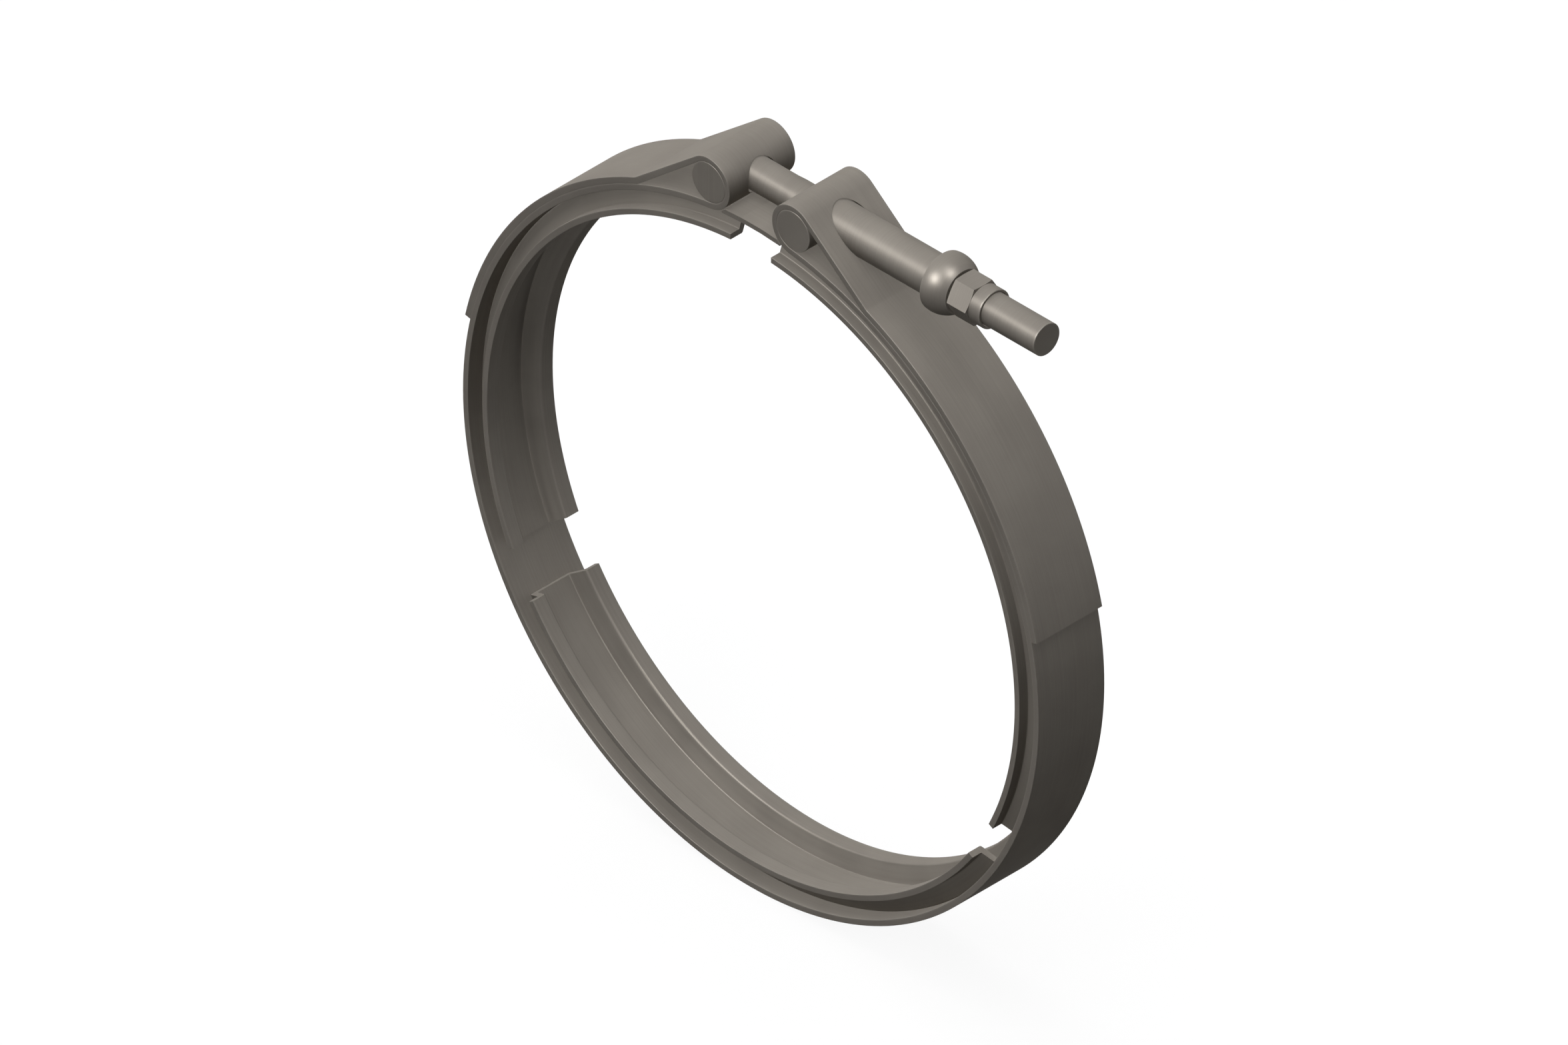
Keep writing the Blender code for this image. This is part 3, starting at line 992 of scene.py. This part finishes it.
@dataclass
class Latch:
    """The T-bolt, the trunnion pin, the spacer sleeve, the ball washer and the lock nut.

    The reaches of the bolt and the sleeve are counted from the trunnion pin's axis.
    """

    plan: Plan = PLAN
    clearance: float = 0.3 * MM
    bore: float = 4.1 * MM
    bore_edge: float = 0.1 * MM
    pin_edge: float = 0.1 * MM
    bolt_reach: float = 67.6 * MM
    bolt_edge: float = 0.12 * MM
    sleeve_start: float = 2.0 * MM
    sleeve_reach: float = 35.4 * MM
    sleeve_edge: float = 0.15 * MM
    cope_clearance: float = 0.05 * MM
    ball_radius: float = 7.2 * MM
    ball_back: float = 1.5 * MM
    ball_face: float = 4.8 * MM
    ball_edge: float = 0.12 * MM
    ball_rows: int = 28
    ball_steps: int = 80
    nut_half_flats: float = 4.8 * MM
    nut_chamfer: float = math.radians(15.0)
    nut_spare: float = 0.3 * MM
    nut_bore_edge: float = 0.12 * MM
    hex_length: float = 6.0 * MM
    collar_length: float = 3.3 * MM
    collar_radius: float = 4.75 * MM
    collar_edge: float = 0.18 * MM
    turned_steps: int = 96

    @property
    def ball_centre(self) -> Vector:
        """Centre of the ball that the washer is cut from."""
        return self.plan.pin + ALONG_X * (self.sleeve_reach + self.clearance + self.ball_back)

    @property
    def nut_face(self) -> Vector:
        """Middle of the nut's face that looks at the washer."""
        return self.ball_centre + ALONG_X * (self.ball_face + self.clearance)

    def pin_profile(self) -> list[tuple[float, float, float]]:
        """Draw a cross pin's profile, its ends slightly rounded.

        Returns:
            Points as (distance along the axis, radius, edge).
        """
        half = self.plan.strap_width / 2
        radius = self.plan.pin_radius
        return soften(
            [(-half, 0.0), (-half, radius), (half, radius), (half, 0.0)],
            [0.0, self.pin_edge, self.pin_edge, 0.0],
            closed=False,
        )

    def t_bolt(self, material: bpy.types.Material) -> bpy.types.Object:
        """Build the cross-pin head and the shank as one piece.

        Args:
            material: The bolt's finish.

        Returns:
            The piece.
        """
        plan = self.plan
        head_place = Vector((-plan.pin_x, 0.0, plan.pin_z))
        length = 2 * plan.pin_x + self.bolt_reach
        profile = soften(
            [(0.0, 0.0), (0.0, plan.bolt_radius), (length, plan.bolt_radius), (length, 0.0)],
            [0.0, 0.0, self.bolt_edge, 0.0],
            closed=False,
        )
        shape = lathe(profile, head_place, ALONG_X, bored=False, steps=self.turned_steps)
        bolt = add_piece("t_bolt_forging", shape, material)
        head = lathe(self.pin_profile(), head_place, ALONG_Y, bored=False)
        bolt = carve(bolt, [head], Carving.FUSE)
        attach(bolt, "t_bolt")
        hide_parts("t_bolt")
        return bolt

    def trunnion_pin(self, material: bpy.types.Material) -> bpy.types.Object:
        """Build the pin of the right loop, drilled across for the bolt.

        Args:
            material: The pin's finish.

        Returns:
            The piece.
        """
        plan = self.plan
        shape = lathe(self.pin_profile(), plan.pin, ALONG_Y, bored=False)
        piece = add_piece("trunnion_pin_body", shape, material)
        reach = 2 * plan.pin_radius
        drill = lathe(bar(-reach, reach, self.bore), plan.pin, ALONG_X, bored=False)
        piece = carve(piece, [drill])
        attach(piece, "trunnion")
        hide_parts("trunnion_pin")
        return piece

    def spacer_sleeve(self, material: bpy.types.Material) -> bpy.types.Object:
        """Build the tube from the trunnion pin to the ball washer, coped to the pin.

        Args:
            material: The sleeve's finish.

        Returns:
            The piece.
        """
        plan = self.plan
        outline = soften(
            [
                (self.sleeve_start, self.bore), (self.sleeve_start, plan.sleeve_radius),
                (self.sleeve_reach, plan.sleeve_radius), (self.sleeve_reach, self.bore),
            ],
            [0.0, 0.0, self.sleeve_edge, self.bore_edge],
        )
        shape = lathe(outline, plan.pin, ALONG_X, bored=True)
        piece = add_piece("spacer_sleeve_tube", shape, material)
        half = plan.strap_width / 2
        profile = bar(-half, half, plan.pin_radius + self.cope_clearance)
        cope = lathe(profile, plan.pin, ALONG_Y, bored=False)
        piece = carve(piece, [cope])
        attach(piece, "trunnion")
        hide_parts("spacer_sleeve")
        return piece

    def ball_washer(self, material: bpy.types.Material) -> bpy.types.Object:
        """Build the half ball, flat on both of its faces.

        Args:
            material: The washer's finish.

        Returns:
            The piece.
        """
        first = math.acos(-self.ball_back / self.ball_radius)
        last = math.acos(self.ball_face / self.ball_radius)
        corners = [(-self.ball_back, self.bore)]
        for i in range(self.ball_rows + 1):
            angle = first + (last - first) * i / self.ball_rows
            corners.append((self.ball_radius * math.cos(angle), self.ball_radius * math.sin(angle)))
        corners.append((self.ball_face, self.bore))
        ends = [self.bore_edge, self.ball_edge]
        profile = soften(corners, ends + [0.0] * (self.ball_rows - 1) + ends[::-1])
        shape = lathe(profile, self.ball_centre, ALONG_X, bored=True, steps=self.ball_steps)
        piece = add_piece("ball_washer_turning", shape, material)
        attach(piece, "washer")
        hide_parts("ball_washer")
        return piece

    def lock_nut(self, material: bpy.types.Material) -> bpy.types.Object:
        """Build the hexagon nut, turned first and then cut to its flats.

        Args:
            material: The nut's finish.

        Returns:
            The piece.
        """
        flats = 6
        corner = self.nut_half_flats / math.cos(math.pi / flats)
        blank = corner + self.nut_spare
        slope = (blank - self.nut_half_flats) * math.tan(self.nut_chamfer)
        end = self.hex_length + self.collar_length
        outline = soften(
            [
                (0.0, self.bore), (0.0, self.nut_half_flats), (slope, blank),
                (self.hex_length - slope, blank), (self.hex_length, self.nut_half_flats),
                (self.hex_length, self.collar_radius), (end, self.collar_radius), (end, self.bore),
            ],
            [self.nut_bore_edge, 0.0, 0.0, 0.0, 0.0, 0.0, self.collar_edge, self.nut_bore_edge],
        )
        shape = lathe(outline, self.nut_face, ALONG_X, bored=True, steps=self.turned_steps)
        piece = add_piece("lock_nut_hexagon", shape, material)
        profile = bar(-self.nut_spare, self.hex_length + self.nut_spare, 2 * corner, corner)
        ring = lathe(profile, self.nut_face, ALONG_X, bored=True, steps=flats)
        piece = carve(piece, [ring])
        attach(piece, "nut")
        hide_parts("lock_nut")
        return piece


class LampRole(Enum):
    """What a lamp does: light with shadows, fill in without them, or show in the gloss alone."""

    KEY = "key"
    FILL = "fill"
    GLOSS = "gloss"


@dataclass(frozen=True)
class Lamp:
    """A distant lamp: its place and width in the sky, in degrees, its irradiance and its role."""

    name: str
    azimuth: float
    elevation: float
    strength: float
    width: float
    role: LampRole

    def direction(self) -> Vector:
        """Unit vector from the clamp towards the lamp."""
        level = polar(1.0, math.radians(self.elevation))
        return Matrix.Rotation(math.radians(self.azimuth), 3, "Z") @ level


@dataclass
class Studio:
    """The floor, the lamps, the world and the camera."""

    floor_z: float = -88.2 * MM
    floor_reach: float = 6.0
    floor_colour: tuple[float, float, float] = (0.12, 0.12, 0.12)
    floor_lift: float = 0.81
    world_level: float = 0.04
    lamps: tuple[Lamp, ...] = (
        Lamp("key_top", azimuth=-80, elevation=80, strength=0.65, width=60, role=LampRole.KEY),
        Lamp("fill_top", azimuth=-80, elevation=80, strength=2.65, width=30, role=LampRole.FILL),
        Lamp("fill_left", azimuth=180, elevation=20, strength=2.0, width=30, role=LampRole.FILL),
        Lamp("fill_corner", azimuth=160, elevation=50, strength=0.8, width=30, role=LampRole.FILL),
        Lamp("fill_front", azimuth=-85, elevation=40, strength=0.72, width=30, role=LampRole.FILL),
        Lamp("fill_behind", azimuth=90, elevation=10, strength=0.8, width=30, role=LampRole.FILL),
        Lamp("gloss_front", azimuth=-104, elevation=35, strength=10.5, width=24, role=LampRole.GLOSS),
        Lamp("gloss_side", azimuth=-20, elevation=65, strength=6.5, width=24, role=LampRole.GLOSS),
    )
    frame_width: float = PHOTO_WIDTH / PHOTO_PIXELS_PER_MM * MM
    aim: tuple[float, float, float] = (0.051 * MM, 0.051 * MM, 3.534 * MM)
    camera_distance: float = 1.2
    camera_near: float = 0.01
    camera_far: float = 20.0

    def background_rays(self, tree: bpy.types.NodeTree) -> bpy.types.NodeSocket:
        """Tell the rays that show the background from those that light the object.

        Args:
            tree: The node tree that the nodes are added to.

        Returns:
            A socket that is 1 for camera, glossy and transmission rays.
        """
        path = tree.nodes.new("ShaderNodeLightPath")
        seen = math_node(tree, "MAXIMUM", path.outputs["Is Camera Ray"], path.outputs["Is Glossy Ray"])
        return math_node(tree, "MAXIMUM", seen, path.outputs["Is Transmission Ray"])

    def floor(self) -> None:
        """Lay a pale floor that keeps the shadow and shows white round it."""
        shape = bmesh.new()
        bmesh.ops.create_grid(shape, x_segments=1, y_segments=1, size=self.floor_reach)
        bmesh.ops.translate(shape, verts=shape.verts, vec=(0.0, 0.0, self.floor_z))
        material = bpy.data.materials.new("pale_floor")
        material.use_nodes = True
        tree = material.node_tree
        shader = tree.nodes["Principled BSDF"]
        shader.inputs["Base Color"].default_value = (*self.floor_colour, 1.0)
        shader.inputs["Roughness"].default_value = 0.9
        shader.inputs["Specular IOR Level"].default_value = 0.0
        shader.inputs["Emission Color"].default_value = (1.0, 1.0, 1.0, 1.0)
        lift = math_node(tree, "MULTIPLY", self.background_rays(tree), self.floor_lift)
        tree.links.new(lift, shader.inputs["Emission Strength"])
        made = add_piece("studio_floor", shape, material)

    def world(self) -> None:
        """Give a dim even sky that shows white to the camera."""
        world = bpy.data.worlds.new("studio_world")
        bpy.context.scene.world = world
        world.use_nodes = True
        tree = world.node_tree
        back = tree.nodes["Background"]
        back.inputs["Color"].default_value = (1.0, 1.0, 1.0, 1.0)
        spread = math_node(tree, "MULTIPLY", self.background_rays(tree), 1.0 - self.world_level)
        level = math_node(tree, "ADD", spread, self.world_level)
        tree.links.new(level, back.inputs["Strength"])

    def hang(self, lamp: Lamp) -> None:
        """Hang a distant lamp.

        Args:
            lamp: The lamp's plan.
        """
        data = bpy.data.lights.new(lamp.name, "SUN")
        data.energy = lamp.strength
        data.angle = math.radians(lamp.width)
        data.use_shadow = lamp.role is LampRole.KEY
        made = bpy.data.objects.new(lamp.name, data)
        made.rotation_mode = "QUATERNION"
        made.rotation_quaternion = lamp.direction().to_track_quat("Z", "Y")
        made.location = lamp.direction()
        made.visible_diffuse = lamp.role is not LampRole.GLOSS
        made.visible_glossy = lamp.role is LampRole.GLOSS
        bpy.context.scene.collection.objects.link(made)

    def camera(self) -> None:
        """Set up the isometric view, from the front right and above, without perspective."""
        data = bpy.data.cameras.new("camera")
        data.type = "ORTHO"
        data.ortho_scale = self.frame_width
        data.clip_start = self.camera_near
        data.clip_end = self.camera_far
        made = bpy.data.objects.new("camera", data)
        back = Vector((1.0, -1.0, 1.0)).normalized()
        made.location = Vector(self.aim) + back * self.camera_distance
        made.rotation_mode = "QUATERNION"
        made.rotation_quaternion = back.to_track_quat("Z", "Y")
        bpy.context.scene.collection.objects.link(made)
        bpy.context.scene.camera = made

    def build(self) -> None:
        """Set the whole stage."""
        self.floor()
        self.world()
        for lamp in self.lamps:
            self.hang(lamp)
        self.camera()
        bpy.context.scene.view_settings.view_transform = "Standard"


def dress_node(node: str, material: bpy.types.Material) -> bpy.types.Object:
    """Give a carried-over solid its finish.

    Args:
        node: The solid's name.
        material: The material made from it.

    Returns:
        The solid's object.
    """
    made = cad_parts[node]
    for slot in made.material_slots:
        slot.link = "OBJECT"
        slot.material = material
    return made


def report(piece: bpy.types.Object) -> None:
    """Log a finished piece's name, size and faces.

    Args:
        piece: The piece.
    """
    size = piece.dimensions / MM
    log.info("%s: %.1f x %.1f x %.1f mm, %d faces", piece.name, *size, len(piece.data.polygons))


def main() -> None:
    """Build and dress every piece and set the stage."""
    logging.basicConfig(level=logging.INFO, format="%(name)s: %(message)s")
    Studio().build()
    strip = STRIP.material()
    along_bolt = TURNED_ALONG_BOLT.material()
    along_pipe = TURNED_ALONG_PIPE.material()

    for side in Side:
        report(StrapHalf(side).build(strip))
    for node, body, first, following in (
        ("retainer_bottom", "root", LEFT_GAP, RIGHT_GAP + math.tau),
        ("retainer_left", "left_arm", TOP, LEFT_GAP),
        ("retainer_right", "right_arm", RIGHT_GAP, TOP),
    ):
        report(Retainer(node, body, first, following).build(strip))
    latch = Latch()
    report(latch.t_bolt(along_bolt))
    report(latch.trunnion_pin(along_pipe))
    report(latch.spacer_sleeve(along_bolt))
    report(latch.ball_washer(along_bolt))
    report(latch.lock_nut(along_bolt))
    report(dress_node("strap_tongue", strip))


if __name__ == "__main__":
    main()
